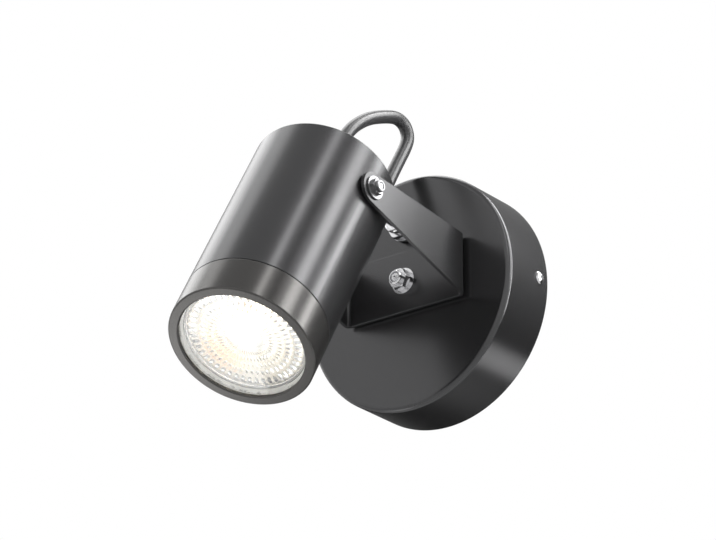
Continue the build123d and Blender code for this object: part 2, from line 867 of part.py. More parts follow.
# The screw on the right also clamps the earth eyelet
with BuildPart() as holder_screws:
    reach = carrier_thickness + holder_screw_grip - screw_clearance
    left_seat = facing_back(head_plane(carrier_back, along=-holder_screw_out))
    carrier_screw(left_seat, reach)
    right_seat = facing_back(head_plane(carrier_back - eyelet_thickness, along=holder_screw_out))
    carrier_screw(right_seat, reach + eyelet_thickness)
save(holder_screws, "holder_screws")

with BuildPart() as earth_eyelet:
    eyelet_seat = facing_back(head_plane(carrier_back, along=holder_screw_out))
    ring(eyelet_seat, eyelet_radius, carrier_screw_radius + screw_clearance, eyelet_thickness)
    barrel_plane = Plane(
        origin=head_plane(carrier_back - eyelet_barrel_radius, holder_screw_out, eyelet_radius).origin,
        z_dir=forward.cross(Vector(1, 0, 0)),
    )
    ring(barrel_plane, eyelet_barrel_radius, 0, eyelet_barrel_length)
    neck_plane = head_plane(carrier_back - eyelet_thickness, holder_screw_out, eyelet_radius)
    with BuildSketch(neck_plane) as neck:
        Rectangle(2 * eyelet_barrel_radius, eyelet_barrel_radius)
    extrude(neck.sketch, amount=eyelet_thickness)
    barrel_mouth = barrel_plane.offset(eyelet_barrel_length)
    ring(barrel_mouth, core_radius + screw_clearance, 0, -core_depth - screw_clearance, Mode.SUBTRACT)
save(earth_eyelet, "earth_eyelet")

# ---------------------------------------------------------------------------------------------
# Tilt pivot: a bolt through each side of the head and each arm
# ---------------------------------------------------------------------------------------------

# The bolt's head lies flat in the round housing, so it seats a little inside the bore
bolt_seat = math.sqrt(bore_radius**2 - pivot_head_radius**2) - screw_clearance
pivot_bolt_end = nut_face + pivot_nut_height - pivot_tip_recess

with BuildPart() as pivot_bolts:
    reach = pivot_bolt_end - bolt_seat
    turned(
        side_plane(bolt_seat, pivot_out, pivot_up),
        (0, -pivot_head_height),
        (pivot_head_radius * pan_crown, -pivot_head_height),
        (pivot_head_radius, -pivot_head_height * pan_flank),
        (pivot_head_radius, 0),
        (pivot_radius, 0),
        (pivot_radius, reach - pivot_tip_chamfer),
        (pivot_radius - pivot_tip_chamfer, reach),
        (pivot_radius / 2, reach),
        (0, reach - pivot_tip_chamfer),
    )
    mirror(about=Plane.YZ)
save(pivot_bolts, "pivot_bolts")

# Saddle pads between the head's round side and the flat arms
with BuildPart() as pivot_pads:
    pad_root = math.sqrt(head_radius**2 - pivot_pad_radius**2) - overshoot
    ring(
        side_plane(pad_root, pivot_out, pivot_up),
        pivot_pad_radius,
        pivot_radius + shaft_clearance,
        pad_face - pad_root,
    )
    ring(head_plane(-2 * pivot_pad_radius), head_radius, 0, 4 * pivot_pad_radius, Mode.SUBTRACT)
    mirror(about=Plane.YZ)
save(pivot_pads, "pivot_pads")

with BuildPart() as pivot_washers:
    ring(
        side_plane(washer_face, pivot_out, pivot_up),
        pivot_washer_radius,
        pivot_radius + shaft_clearance,
        pivot_washer_thickness,
    )
    mirror(about=Plane.YZ)
save(pivot_washers, "pivot_washers")

with BuildPart() as pivot_nuts:
    lock_nut(
        pivot_nuts,
        side_plane(nut_face, pivot_out, pivot_up),
        pivot_nut_flats,
        pivot_nut_hex,
        pivot_collar_radius,
        pivot_nut_height,
        pivot_radius + shaft_clearance,
        pivot_nut_edge,
    )
    mirror(about=Plane.YZ)
save(pivot_nuts, "pivot_nuts")

# ---------------------------------------------------------------------------------------------
# Cable glands
# ---------------------------------------------------------------------------------------------


def gland(seat, wall, name):
    """A cable gland on a seat plane that faces out of a wall: seal, body, cap and locknut."""
    body_seat = seat.offset(gland_seal_thickness)
    hex_seat = body_seat.offset(gland_flange_thickness)
    cap_seat = hex_seat.offset(gland_hex_height)

    with BuildPart() as seal:
        ring(seat, gland_seal_radius, gland_thread_radius + screw_clearance, gland_seal_thickness)
    save(seal, f"{name}_gland_seal")

    with BuildPart() as body:
        hexagon(body, hex_seat, gland_flats, gland_hex_height)
        ring(body_seat, gland_flange_radius, 0, gland_flange_thickness)
        ring(body_seat, gland_thread_radius, 0, -gland_seal_thickness - gland_thread_inside)
        ring(cap_seat, gland_bore, 0, -2 * gland_stack, Mode.SUBTRACT)
    save(body, f"{name}_gland_body")

    with BuildPart() as cap:
        ring(cap_seat, gland_cap_radius, 0, gland_cap_height)
        rims = cap.edges().filter_by(GeomType.CIRCLE)
        fillet(rims.sort_by(Axis(seat.origin, seat.z_dir))[-1], gland_cap_round)
        ring(cap_seat, gland_bore, 0, gland_cap_height, Mode.SUBTRACT)
    save(cap, f"{name}_gland_cap")

    with BuildPart() as locknut:
        locknut_seat = seat.offset(-wall - gland_locknut_height)
        hexagon(locknut, locknut_seat, gland_locknut_flats, gland_locknut_height)
        locknut_bore = gland_thread_radius + screw_clearance
        ring(locknut_seat, locknut_bore, 0, gland_locknut_height, Mode.SUBTRACT)
    save(locknut, f"{name}_gland_locknut")

    with BuildPart() as lead_end:
        ring(seat.offset(gland_stack), lead_radius, 0, -gland_stack - wall - lead_inside)
    save(lead_end, f"{name}_lead_end")


base_seat = wall_plane(base_depth, gland_up)
head_seat = facing_back(head_plane(-head_behind))
gland(base_seat, base_wall, "base")
gland(head_seat, head_wall, "head")

# ---------------------------------------------------------------------------------------------
# Cores of the lead inside the base and inside the head
# ---------------------------------------------------------------------------------------------


def core(*points):
    """Adds one insulated core along straight runs with rounded corners."""
    with BuildLine() as path:
        FilletPolyline(*points, radius=core_bend_radius)
    with BuildSketch(Plane(origin=path.line @ 0, z_dir=path.line % 0)) as wire:
        Circle(core_radius)
    sweep(wire.sketch, path=path.line)


def core_place(face, turn):
    """The place of a core in the lead, on a plane across the lead."""
    turn = math.radians(turn)
    return face.from_local_coords((core_ring * math.cos(turn), core_ring * math.sin(turn), 0))


# Inside the base the cores turn down to the three upper entries of the terminal block
with BuildPart() as base_cores:
    lead_stop = base_wall + lead_inside
    for turn, pole in ((210, -1), (90, 0), (330, 1)):
        along = block_along + pole * block_pitch
        core(
            core_place(base_seat.offset(-lead_stop), turn),
            core_place(base_seat.offset(-lead_stop - core_straight), turn),
            (along, -block_entry_out, block_height / 2 + core_drop),
            (along, -block_entry_out, block_height / 2 - core_depth),
        )
save(base_cores, "base_cores")

# Inside the head two cores go through the carrier to the lamp holder, and one to the eyelet
with BuildPart() as head_cores:
    lead_stop = head_wall + lead_inside - head_behind
    for turn, along in ((210, -core_apart), (330, core_apart)):
        core(
            core_place(head_plane(lead_stop), turn),
            core_place(head_plane(lead_stop + core_straight), turn),
            head_plane(carrier_back - core_straight, along).origin,
            head_plane(holder_back + core_depth, along).origin,
        )
    barrel_line = head_plane(carrier_back - eyelet_barrel_radius, holder_screw_out)
    core(
        core_place(head_plane(lead_stop), 90),
        core_place(head_plane(lead_stop + core_straight), 90),
        barrel_line.from_local_coords((0, eyelet_core_out, -core_straight)),
        barrel_line.from_local_coords((0, eyelet_core_out, 0)),
        barrel_line.from_local_coords((0, eyelet_radius + eyelet_barrel_length - core_depth, 0)),
    )
save(head_cores, "head_cores")

# ---------------------------------------------------------------------------------------------
# The flexible lead between the glands
# ---------------------------------------------------------------------------------------------


def lead(name, *route):
    """Writes one stretch of the lead, its corners as wide as the runs beside them allow."""
    points = [Vector(0, -out, up) for out, up in route]
    runs = [after - before for before, after in zip(points, points[1:])]
    radii = []
    for run, following in zip(runs, runs[1:]):
        half_turn = math.radians(run.get_angle(following)) / 2
        radii.append(lead_corner_share * min(run.length, following.length) / math.tan(half_turn))
    with BuildPart() as flex:
        with BuildLine() as path:
            FilletPolyline(*points, radius=radii)
        with BuildSketch(Plane(origin=path.line @ 0, z_dir=path.line % 0)):
            Circle(lead_radius)
        sweep(path=path.line)
    save(flex, name)
    print(f"{name}: {path.wire().length:.1f} mm long, {flex.part.volume:.0f} mm3,", end=" ")
    print("corner radii", [round(radius, 1) for radius in radii])


lead("flex_lower", base_mouth, *lower_route)
lead("flex_upper", *upper_route, head_mouth)
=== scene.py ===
"""Looks of a pivoting spotlight wall light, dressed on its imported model.

Metres, +Z up. The wall is at y = 0 and the room at negative y.
"""

import json
import math

import bmesh
import bpy
from mathutils import Matrix, Vector

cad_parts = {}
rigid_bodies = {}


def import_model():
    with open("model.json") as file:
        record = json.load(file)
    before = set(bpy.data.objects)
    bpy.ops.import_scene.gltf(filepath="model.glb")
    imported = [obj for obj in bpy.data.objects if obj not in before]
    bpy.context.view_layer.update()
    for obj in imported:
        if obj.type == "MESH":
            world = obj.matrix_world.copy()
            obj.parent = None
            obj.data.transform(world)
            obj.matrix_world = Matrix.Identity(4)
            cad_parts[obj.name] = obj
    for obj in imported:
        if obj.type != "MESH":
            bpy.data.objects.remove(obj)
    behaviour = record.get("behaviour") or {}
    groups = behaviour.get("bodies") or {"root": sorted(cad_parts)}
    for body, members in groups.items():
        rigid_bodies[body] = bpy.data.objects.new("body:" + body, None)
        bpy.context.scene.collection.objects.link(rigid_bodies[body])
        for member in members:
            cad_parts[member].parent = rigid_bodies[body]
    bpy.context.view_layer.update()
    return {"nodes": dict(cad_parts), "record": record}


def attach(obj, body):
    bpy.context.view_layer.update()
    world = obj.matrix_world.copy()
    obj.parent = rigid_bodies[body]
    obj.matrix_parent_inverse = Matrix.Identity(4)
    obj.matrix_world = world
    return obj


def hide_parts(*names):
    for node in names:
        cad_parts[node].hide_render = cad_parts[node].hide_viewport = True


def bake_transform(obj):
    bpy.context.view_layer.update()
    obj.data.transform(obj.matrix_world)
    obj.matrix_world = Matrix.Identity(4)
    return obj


for leftover in list(bpy.data.objects):
    bpy.data.objects.remove(leftover)

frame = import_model()
nodes = frame["nodes"]

MM = 0.001

# The head, as the model has it: its pivot, the way it points, and the two ways across that
PIVOT = Vector((0.0, -91.75, 15.2)) * MM
FORWARD = Vector((0.0, -0.5, -math.sqrt(0.75)))
ACROSS = Vector((1.0, 0.0, 0.0))
UPWARD = FORWARD.cross(ACROSS)
HEAD_RADIUS = 30.0 * MM
HEAD_MIDDLE = 34.0 * MM
HEAD_FRONT = 84.4 * MM

# Camera, found from the outlines in the photograph
CAMERA_PLACE = Vector((0.8592, -1.1710, -0.5997))
CAMERA_RIGHT = Vector((0.7908, 0.6120, 0.0))
CAMERA_UP = Vector((0.2400, -0.3101, 0.9199))
CAMERA_BACK = Vector((0.5630, -0.7275, -0.3921))
CAMERA_LENS = 189.7
SENSOR_WIDTH = 36.0

# The lead's route, as distance from the wall and height in millimetres
LOWER_ROUTE = (
    (36.8, 29.3),
    (40.6, 29.3),
    (43.9, 31.9),
    (44.9, 36.0),
    (42.1, 41.8),
    (37.9, 49.3),
    (33.0, 57.6),
    (28.4, 65.2),
    (26.4, 70.5),
    (28.6, 75.2),
    (33.5, 76.7),
    (39.0, 75.5),
    (44.2, 73.4),
)
UPPER_ROUTE = (
    (44.2, 73.4),
    (50.44, 70.88),
    (58.0, 66.4),
    (65.2, 60.5),
    (71.2, 53.0),
    (74.8, 44.56),
    (78.45, 38.236),
)
LEAD_RADIUS = 2.8 * MM
LEAD_SIDES = 32
LEAD_SAMPLES = 12

# Moulded front of the lamp, along the head's axis from the pivot
LENS_BACK = 77.2 * MM
LENS_FRONT = 80.6 * MM
LENS_RADIUS = 24.5 * MM
LENS_CELLS = 48
LENS_CELL_STEPS = 6
LENS_RINGS = 72

# Its relief in millimetres. A band is where it starts and stops, its height between the cells, what
# a cell adds to that, and how full its section is.
DOME_REACH = 7.0
DOME_HEIGHT = 0.7
FLUTES = (
    (4.0, 10.0, 0.30, 0.55, 0.5),
    (8.6, 13.2, 0.30, 0.55, 0.5),
    (12.2, 16.4, 0.30, 0.55, 0.5),
)
INNER_BEADS = (15.4, 20.0, 0.3, 0.9, 0.7)
OUTER_BEADS = (19.2, 24.2, 0.3, 1.4, 0.7)
LENS_RELIEF = 1.8
LENS_RIM_START = 24.1
LENS_RIM_RELIEF = 0.15

# Light pipe behind it
PIPE_RADIUS = 5.0 * MM
PIPE_FOOT_RADIUS = 4.0 * MM
PIPE_FOOT = 51.0 * MM
PIPE_TOP = 75.8 * MM
PIPE_SIDES = 48
PIPE_DOME_STEPS = 9

# Noise: how rough it is, and the part of its range that a surface uses
NOISE_ROUGHNESS = 0.55
NOISE_LOW = 0.3
NOISE_HIGH = 0.7

# Painted edges look rounded by this much
EDGE_RADIUS = 0.35 * MM
EDGE_SAMPLES = 6

# Satin graphite paint: fine metallic grain in its tone and relief, slow patches in its sheen
COAT_METALLIC = 0.7
COAT_GRAIN = (2600.0, 2.0)
COAT_PATCHES = (28.0, 3.0)
COAT_RELIEF = (0.10, 0.02 * MM)
COAT_ROUGHNESS = 0.25
COAT_ROUGHNESS_SPREAD = 0.02
COAT_TONES = ((0.072, 0.072, 0.074), (0.088, 0.088, 0.090))
# Painted light: the front ring gets a lighter, warmer copy of the graphite tones.
RING_PAINTED_WARM_TONES = ((0.083, 0.081, 0.078), (0.100, 0.097, 0.094))
COVER_ROUGHNESS = 0.225

# Plain looks by slot: noise scale and detail, two tones, range of roughness, strength and depth of
# the relief
PLATED_GRAIN = {"grain": (420.0, 3.0), "relief": (0.03, 0.02 * MM), "metallic": 1.0}
MOULDED_GRAIN = {"grain": (180.0, 4.0), "relief": (0.06, 0.04 * MM)}
PLAIN_LOOKS = {
    "chrome": {
        "tones": ((0.62, 0.62, 0.63), (0.76, 0.76, 0.77)),
        "roughness": (0.14, 0.20),
        **PLATED_GRAIN,
    },
    "zinc": {
        "grain": (260.0, 5.0),
        "tones": ((0.50, 0.51, 0.53), (0.68, 0.69, 0.70)),
        "roughness": (0.28, 0.42),
        "relief": (0.08, 0.03 * MM),
        "metallic": 1.0,
    },
    "brass": {
        "grain": (420.0, 4.0),
        "tones": ((0.62, 0.46, 0.20), (0.80, 0.62, 0.32)),
        "roughness": (0.20, 0.32),
        "metallic": 1.0,
    },
    "rubber": {
        "grain": (1500.0, 4.0),
        "tones": ((0.016, 0.016, 0.017), (0.028, 0.028, 0.029)),
        "roughness": (0.56, 0.68),
        "relief": (0.25, 0.05 * MM),
    },
    "silicone": {
        "tones": ((0.56, 0.56, 0.54), (0.64, 0.64, 0.62)),
        "roughness": (0.30, 0.40),
        **MOULDED_GRAIN,
    },
    "lead": {
        "grain": (420.0, 2.0),
        "tones": ((0.051, 0.051, 0.052), (0.059, 0.059, 0.061)),
        "roughness": (0.28, 0.32),
        "relief": (0.01, 0.02 * MM),
        "specular": 0.6,
    },
    "core": {
        "grain": (60.0, 1.0),
        "tones": ((0.10, 0.045, 0.020), (0.16, 0.070, 0.030)),
        "roughness": (0.28, 0.36),
    },
    "block": {
        "tones": ((0.72, 0.72, 0.68), (0.82, 0.82, 0.79)),
        "roughness": (0.45, 0.55),
        **MOULDED_GRAIN,
    },
    "ceramic": {
        "tones": ((0.80, 0.78, 0.71), (0.88, 0.86, 0.80)),
        "roughness": (0.35, 0.45),
        **MOULDED_GRAIN,
    },
}
# A darker copy of the plating for the pivot's nuts and washers: painted shade.
PAINTED_SHADE_PLATE = {
    "tones": ((0.22, 0.22, 0.225), (0.30, 0.30, 0.305)),
    "roughness": (0.27, 0.33),
    **PLATED_GRAIN,
}

# What glows: ramps go from the head's axis out to the piece's own radius
# The seal's glow is painted light: the silicone is no lamp, and its glow stands in for the lamp's
# light through it.
PAINTED_SEAL_GLOW = 0.32
PAINTED_SEAL_TONE = (1.0, 0.97, 0.92, 1.0)
LED_STRENGTH = 13.0
LED_TONE = (1.0, 0.86, 0.55, 1.0)
LED_GLOW = ((1.0, 0.90, 0.76), (1.0, 0.95, 0.86))
PIPE_STRENGTH = 3.5
PIPE_GLOW = (
    (0.0, (1.0, 0.99, 0.97)),
    (0.7, (1.0, 0.95, 0.88)),
    (1.0, (0.7, 0.62, 0.52)),
)
# The lens's glow is painted light: it stands in for the lamp's light that the lens scatters.
LENS_PAINTED_GLOW = (
    (0.0, (0.24, 0.235, 0.225)),
    (0.2, (0.11, 0.105, 0.10)),
    (0.42, (0.045, 0.044, 0.042)),
    (0.7, (0.030, 0.030, 0.030)),
    (1.0, (0.025, 0.025, 0.026)),
)

# Painted warm light: the lamp's pale cup is a little orange near one place on its inside
PAINTED_WARM_LIGHT_PLACE = PIVOT + 70.0 * MM * FORWARD + Vector((-16.0, 4.0, -3.0)) * MM
PAINTED_WARM_LIGHT_REACH = (4.0 * MM, 13.0 * MM)
CUP_AND_PAINTED_WARM_LIGHT_TONES = ((0.0, (0.95, 0.70, 0.48)), (1.0, (0.86, 0.85, 0.83)))

FLOOR_LEVEL = -0.95
FLOOR_SIDE = 12.0
FLOOR_TONES = ((0.80, 0.80, 0.80), (0.82, 0.82, 0.82))
FLOOR_WHITE_SEEN = 0.93
FLOOR_WHITE_IN_GLOSS = 0.62

WORLD_FILL = 0.40
WHITE = 1.0
PURE_WHITE = (1.0, 1.0, 1.0, 1.0)

# Strip lamps: the turn about the head at which they show, distance, size and radiance
STRIPS = (
    ("left", 103.0, 0.80, (0.42, 1.30), 1.9),
    ("left_soft", 84.0, 0.85, (0.24, 1.30), 1.7),
    ("top", 42.5, 0.80, (0.085, 1.10), 5.0),
    ("right", 19.2, 0.80, (0.180, 1.10), 6.2),
    ("edge", 2.0, 0.30, (0.060, 0.50), 8.3),
)

# Aimed lamps: what they are aimed at, where they are from there, distance, size and radiance. One
# is for the lower side of the base. The other is aimed past the left of the head's ring, so that
# its light fades across the ring's front.
BASE_SIDE = Vector((0.035, -0.014, -0.035))
BESIDE_RING = PIVOT + HEAD_FRONT * FORWARD - 88.0 * MM * ACROSS
AIMED_LAMPS = (
    ("low", BASE_SIDE, Vector((0.40, 0.7275, -0.56)), 0.9, (0.30, 0.22), 2.5),
    ("lip", BESIDE_RING, Vector((-0.563, 0.0245, -0.826)), 0.3, (0.07, 0.13), 2.6),
)

# Cards that only gloss sees. Levels are pairs of a height from the card's middle and a grey.
BACK_CARD_PLACE = Vector((0.0, 1.0, 0.0))
BACK_CARD_SIZE = (5.0, 3.6)
BACK_LEVELS = ((-1.0, 0.0), (-0.5, 0.0), (-0.15, 0.07), (0.15, 0.11), (0.5, 0.17), (1.0, 0.29))
GAP_TURN = 33.0
GAP_DISTANCE = 0.84
GAP_CARD_SIZE = (0.12, 1.2)
GAP_LEVELS = ((-0.6, 0.10), (0.6, 0.10))
TOP_CARD_PLACE = Vector((0.0, -0.1, 1.6))
TOP_CARD_SIZE = (2.4, 2.4)
TOP_LEVELS = ((-1.0, 0.55), (1.0, 0.55))


# ---------------------------------------------------------------------------------------------
# Shader helpers
# ---------------------------------------------------------------------------------------------


def new_material(name):
    """A material, its node tree and its Principled node."""
    made = bpy.data.materials.new(name)
    made.use_nodes = True
    tree = made.node_tree
    return made, tree, tree.nodes["Principled BSDF"]


def set_inputs(node, **values):
    """Sets a node's named inputs. An underscore stands for a space."""
    for key, value in values.items():
        node.inputs[key.replace("_", " ")].default_value = value


def add(tree, kind, **values):
    """A node with its named inputs set."""
    node = tree.nodes.new(kind)
    set_inputs(node, **values)
    return node


def calculate(tree, kind, operation, first, second=None):
    """A Math or VectorMath node on a socket, and on a second socket or a fixed value."""
    node = tree.nodes.new(kind)
    node.operation = operation
    tree.links.new(first, node.inputs[0])
    if isinstance(second, bpy.types.NodeSocket):
        tree.links.new(second, node.inputs[1])
    elif second is not None:
        node.inputs[1].default_value = second
    return node


def mix_shaders(tree, share, first, second):
    """A shader that goes from the first to the second by a share. Gives the output socket."""
    mix = tree.nodes.new("ShaderNodeMixShader")
    tree.links.new(share, mix.inputs["Fac"])
    tree.links.new(first, mix.inputs[1])
    tree.links.new(second, mix.inputs[2])
    return mix.outputs["Shader"]


def object_place(tree):
    """The object's own coordinates, in metres."""
    return tree.nodes.new("ShaderNodeTexCoord").outputs["Object"]


def noise(tree, scale, detail):
    """Noise over the object's own coordinates. Gives the output socket."""
    made = add(tree, "ShaderNodeTexNoise", Scale=scale, Detail=detail, Roughness=NOISE_ROUGHNESS)
    tree.links.new(object_place(tree), made.inputs["Vector"])
    return made.outputs["Fac"]


def spread(tree, source, low, high, start=NOISE_LOW, stop=NOISE_HIGH):
    """Maps a value from start and stop to low and high."""
    made = tree.nodes.new("ShaderNodeMapRange")
    set_inputs(made, From_Min=start, From_Max=stop, To_Min=low, To_Max=high)
    tree.links.new(source, made.inputs["Value"])
    return made.outputs["Result"]


def ramp(tree, source, stops):
    """Colour by a value, from stops of a position and a colour."""
    made = tree.nodes.new("ShaderNodeValToRGB")
    elements = made.color_ramp.elements
    while len(elements) < len(stops):
        elements.new(0.5)
    for element, (position, colour) in zip(elements, stops):
        element.position = position
        element.color = (*colour, 1.0)
    tree.links.new(source, made.inputs["Fac"])
    return made.outputs["Color"]


def two_tone(tree, source, dark, light):
    """Colour between two tones by a noise value."""
    return ramp(tree, source, ((NOISE_LOW, dark), (NOISE_HIGH, light)))


def bump(tree, shader, source, strength, depth, edge=0.0):
    """Fine relief. With an edge radius, sharp edges also catch light as if they were rounded."""
    made = add(tree, "ShaderNodeBump", Strength=strength, Distance=depth)
    tree.links.new(source, made.inputs["Height"])
    tree.links.new(made.outputs["Normal"], shader.inputs["Normal"])
    if edge:
        rounded = add(tree, "ShaderNodeBevel", Radius=edge)
        rounded.samples = EDGE_SAMPLES
        tree.links.new(rounded.outputs["Normal"], made.inputs["Normal"])


def reach_from_axis(tree, radius):
    """Distance from the head's axis, as a share of a radius."""
    kind = "ShaderNodeVectorMath"
    from_pivot = calculate(tree, kind, "SUBTRACT", object_place(tree), PIVOT)
    crossed = calculate(tree, kind, "CROSS_PRODUCT", from_pivot.outputs["Vector"], FORWARD)
    length = calculate(tree, kind, "LENGTH", crossed.outputs["Vector"])
    share = calculate(tree, "ShaderNodeMath", "MULTIPLY", length.outputs["Value"], 1.0 / radius)
    return share.outputs["Value"]


def pass_lamps(tree, shader):
    """Glass that casts no shadow, so lamps reach what is behind it."""
    path = tree.nodes.new("ShaderNodeLightPath")
    open_way = tree.nodes.new("ShaderNodeBsdfTransparent")
    mixed = mix_shaders(
        tree, path.outputs["Is Shadow Ray"], shader.outputs["BSDF"], open_way.outputs["BSDF"]
    )
    tree.links.new(mixed, tree.nodes["Material Output"].inputs["Surface"])


def seen_directly(tree):
    """1 for the camera and in gloss and glass, and 0 for light that falls on matt surfaces."""
    path = tree.nodes.new("ShaderNodeLightPath")
    seen = path.outputs["Is Camera Ray"]
    for kind in ("Is Glossy Ray", "Is Transmission Ray"):
        either = calculate(tree, "ShaderNodeMath", "MAXIMUM", seen, path.outputs[kind])
        seen = either.outputs["Value"]
    return seen


# ---------------------------------------------------------------------------------------------
# Materials
# ---------------------------------------------------------------------------------------------


def plain(name, grain, tones, roughness, relief=None, metallic=0.0, specular=0.5):
    """A surface whose tone, sheen and relief all vary with one noise."""
    made, tree, shader = new_material(name)
    set_inputs(shader, Metallic=metallic, Specular_IOR_Level=specular)
    mottle = noise(tree, *grain)
    tree.links.new(two_tone(tree, mottle, *tones), shader.inputs["Base Color"])
    tree.links.new(spread(tree, mottle, *roughness), shader.inputs["Roughness"])
    if relief:
        bump(tree, shader, mottle, *relief)
    return made


def graphite_coat(name, tones=COAT_TONES, roughness=COAT_ROUGHNESS):
    """Satin graphite paint with a fine metallic grain and a faint unevenness."""
    made, tree, shader = new_material(name)
    set_inputs(shader, Metallic=COAT_METALLIC)
    grain = noise(tree, *COAT_GRAIN)
    patches = noise(tree, *COAT_PATCHES)
    low, high = roughness - COAT_ROUGHNESS_SPREAD, roughness + COAT_ROUGHNESS_SPREAD
    tree.links.new(two_tone(tree, grain, *tones), shader.inputs["Base Color"])
    tree.links.new(spread(tree, patches, low, high), shader.inputs["Roughness"])
    bump(tree, shader, grain, *COAT_RELIEF, EDGE_RADIUS)
    return made


def clear_glass(name):
    """Thin clear front glass that lets lamps through."""
    made, tree, shader = new_material(name)
    set_inputs(
        shader,
        Base_Color=(0.97, 0.985, 0.98, 1.0),
        Roughness=0.02,
        IOR=1.45,
        Transmission_Weight=1.0,
    )
    bump(tree, shader, noise(tree, 40.0, 2.0), 0.02, 0.02 * MM)
    pass_lamps(tree, shader)
    return made


def moulded_lens(name):
    """Clear moulded lens with a painted glow, most of it in the middle, for the lamp's light that
    it scatters.
    """
    made, tree, shader = new_material(name)
    set_inputs(
        shader,
        Base_Color=(0.98, 0.98, 0.98, 1.0),
        IOR=1.49,
        Transmission_Weight=1.0,
        Emission_Strength=1.0,
    )
    ripple = noise(tree, 300.0, 2.0)
    glow = ramp(tree, reach_from_axis(tree, LENS_RADIUS), LENS_PAINTED_GLOW)
    tree.links.new(spread(tree, ripple, 0.02, 0.06), shader.inputs["Roughness"])
    tree.links.new(glow, shader.inputs["Emission Color"])
    bump(tree, shader, ripple, 0.04, 0.05 * MM)
    pass_lamps(tree, shader)
    return made


def lamp_cup(name):
    """Pale lamp body with a painted pool of warm light: a little orange where the source's warm
    edge falls inside.
    """
    made, tree, shader = new_material(name)
    away = calculate(tree, "ShaderNodeVectorMath", "DISTANCE", object_place(tree), PAINTED_WARM_LIGHT_PLACE)
    share = spread(tree, away.outputs["Value"], 0.0, 1.0, *PAINTED_WARM_LIGHT_REACH)
    skin = noise(tree, 180.0, 4.0)
    tree.links.new(ramp(tree, share, CUP_AND_PAINTED_WARM_LIGHT_TONES), shader.inputs["Base Color"])
    tree.links.new(spread(tree, skin, 0.30, 0.40), shader.inputs["Roughness"])
    bump(tree, shader, skin, *MOULDED_GRAIN["relief"])
    return made


def light_pipe(name):
    """Glowing light pipe over the source: white in the middle, warmer at its sides."""
    made, tree, shader = new_material(name)
    set_inputs(shader, Emission_Strength=PIPE_STRENGTH, Roughness=0.3)
    glow = ramp(tree, reach_from_axis(tree, PIPE_RADIUS), PIPE_GLOW)
    tree.links.new(glow, shader.inputs["Emission Color"])
    return made


def lit_source(name):
    """The lamp's light source: a warm white glow with a fine grain."""
    made, tree, shader = new_material(name)
    set_inputs(shader, Base_Color=LED_TONE, Roughness=0.5, Emission_Strength=LED_STRENGTH)
    grain = noise(tree, 1200.0, 1.0)
    tree.links.new(two_tone(tree, grain, *LED_GLOW), shader.inputs["Emission Color"])
    return made


def dress():
    """Gives each carried-over node its material, by the slot that the record names."""
    looks = {slot: plain(slot + "_look", **values) for slot, values in PLAIN_LOOKS.items()}
    looks["steel_coat"] = graphite_coat("steel_coat_look")
    looks["aluminium_coat"] = graphite_coat("aluminium_coat_look")
    looks["glass"] = clear_glass("glass_look")
    looks["lens"] = moulded_lens("lens_look")
    looks["lamp_shell"] = lamp_cup("shell_look")
    looks["led"] = lit_source("led_look")
    # Painted light on the seal: a faint warm-white glow standing in for the lamp's light through
    # the silicone.
    silicone = looks["silicone"].node_tree.nodes["Principled BSDF"]
    set_inputs(silicone, Emission_Color=PAINTED_SEAL_TONE, Emission_Strength=PAINTED_SEAL_GLOW)

    # The pivot's nuts and washers get a darker copy of the plating, which is painted shade.
    shaded_copy = plain("painted_shade_plate_look", **PAINTED_SHADE_PLATE)
    looks_of_nodes = {
        "pivot_nuts": shaded_copy,
        "pivot_washers": shaded_copy,
        "base_cover": graphite_coat("cover_look", roughness=COVER_ROUGHNESS),
        # The ring's lighter, warmer copy of the paint is painted light.
        "front_ring": graphite_coat("ring_look", RING_PAINTED_WARM_TONES),
    }
    for part in frame["record"]["subparts"]:
        node = nodes[part["node"]]
        look = looks_of_nodes.get(part["node"], looks[part["material_slot"]])
        node.data.materials.clear()
        node.data.materials.append(look)
    return looks


# ---------------------------------------------------------------------------------------------
# Mesh helpers
# ---------------------------------------------------------------------------------------------


def full_turn(count):
    """Angles of a full turn in equal steps."""
    return [2 * math.pi * k / count for k in range(count)]


def around(radius, turn, along):
    """A place at a radius and a turn about the head's axis, so far along it from the pivot."""
    return PIVOT + radius * (math.cos(turn) * ACROSS + math.sin(turn) * UPWARD) + along * FORWARD


def join_rings(mesh, lower, upper):
    """Faces between two rings of vertices. Either ring may be a single vertex."""
    count = max(len(lower), len(upper))
    for k in range(count):
        n = (k + 1) % count
        corners = [lower[k % len(lower)], lower[n % len(lower)]]
        corners += [upper[n % len(upper)], upper[k % len(upper)]]
        mesh.faces.new(list(dict.fromkeys(corners)))


def finished(name, mesh, look):
    """An object from a mesh, smooth apart from its flat ends, which have more than 4 corners."""
    bmesh.ops.recalc_face_normals(mesh, faces=mesh.faces)
    data = bpy.data.meshes.new(name)
    mesh.to_mesh(data)
    mesh.free()
    for face in data.polygons:
        face.use_smooth = len(face.vertices) <= 4
    data.materials.append(look)
    made = bpy.data.objects.new(name, data)
    bpy.context.scene.collection.objects.link(made)
    return made


# ---------------------------------------------------------------------------------------------
# The lead
# ---------------------------------------------------------------------------------------------


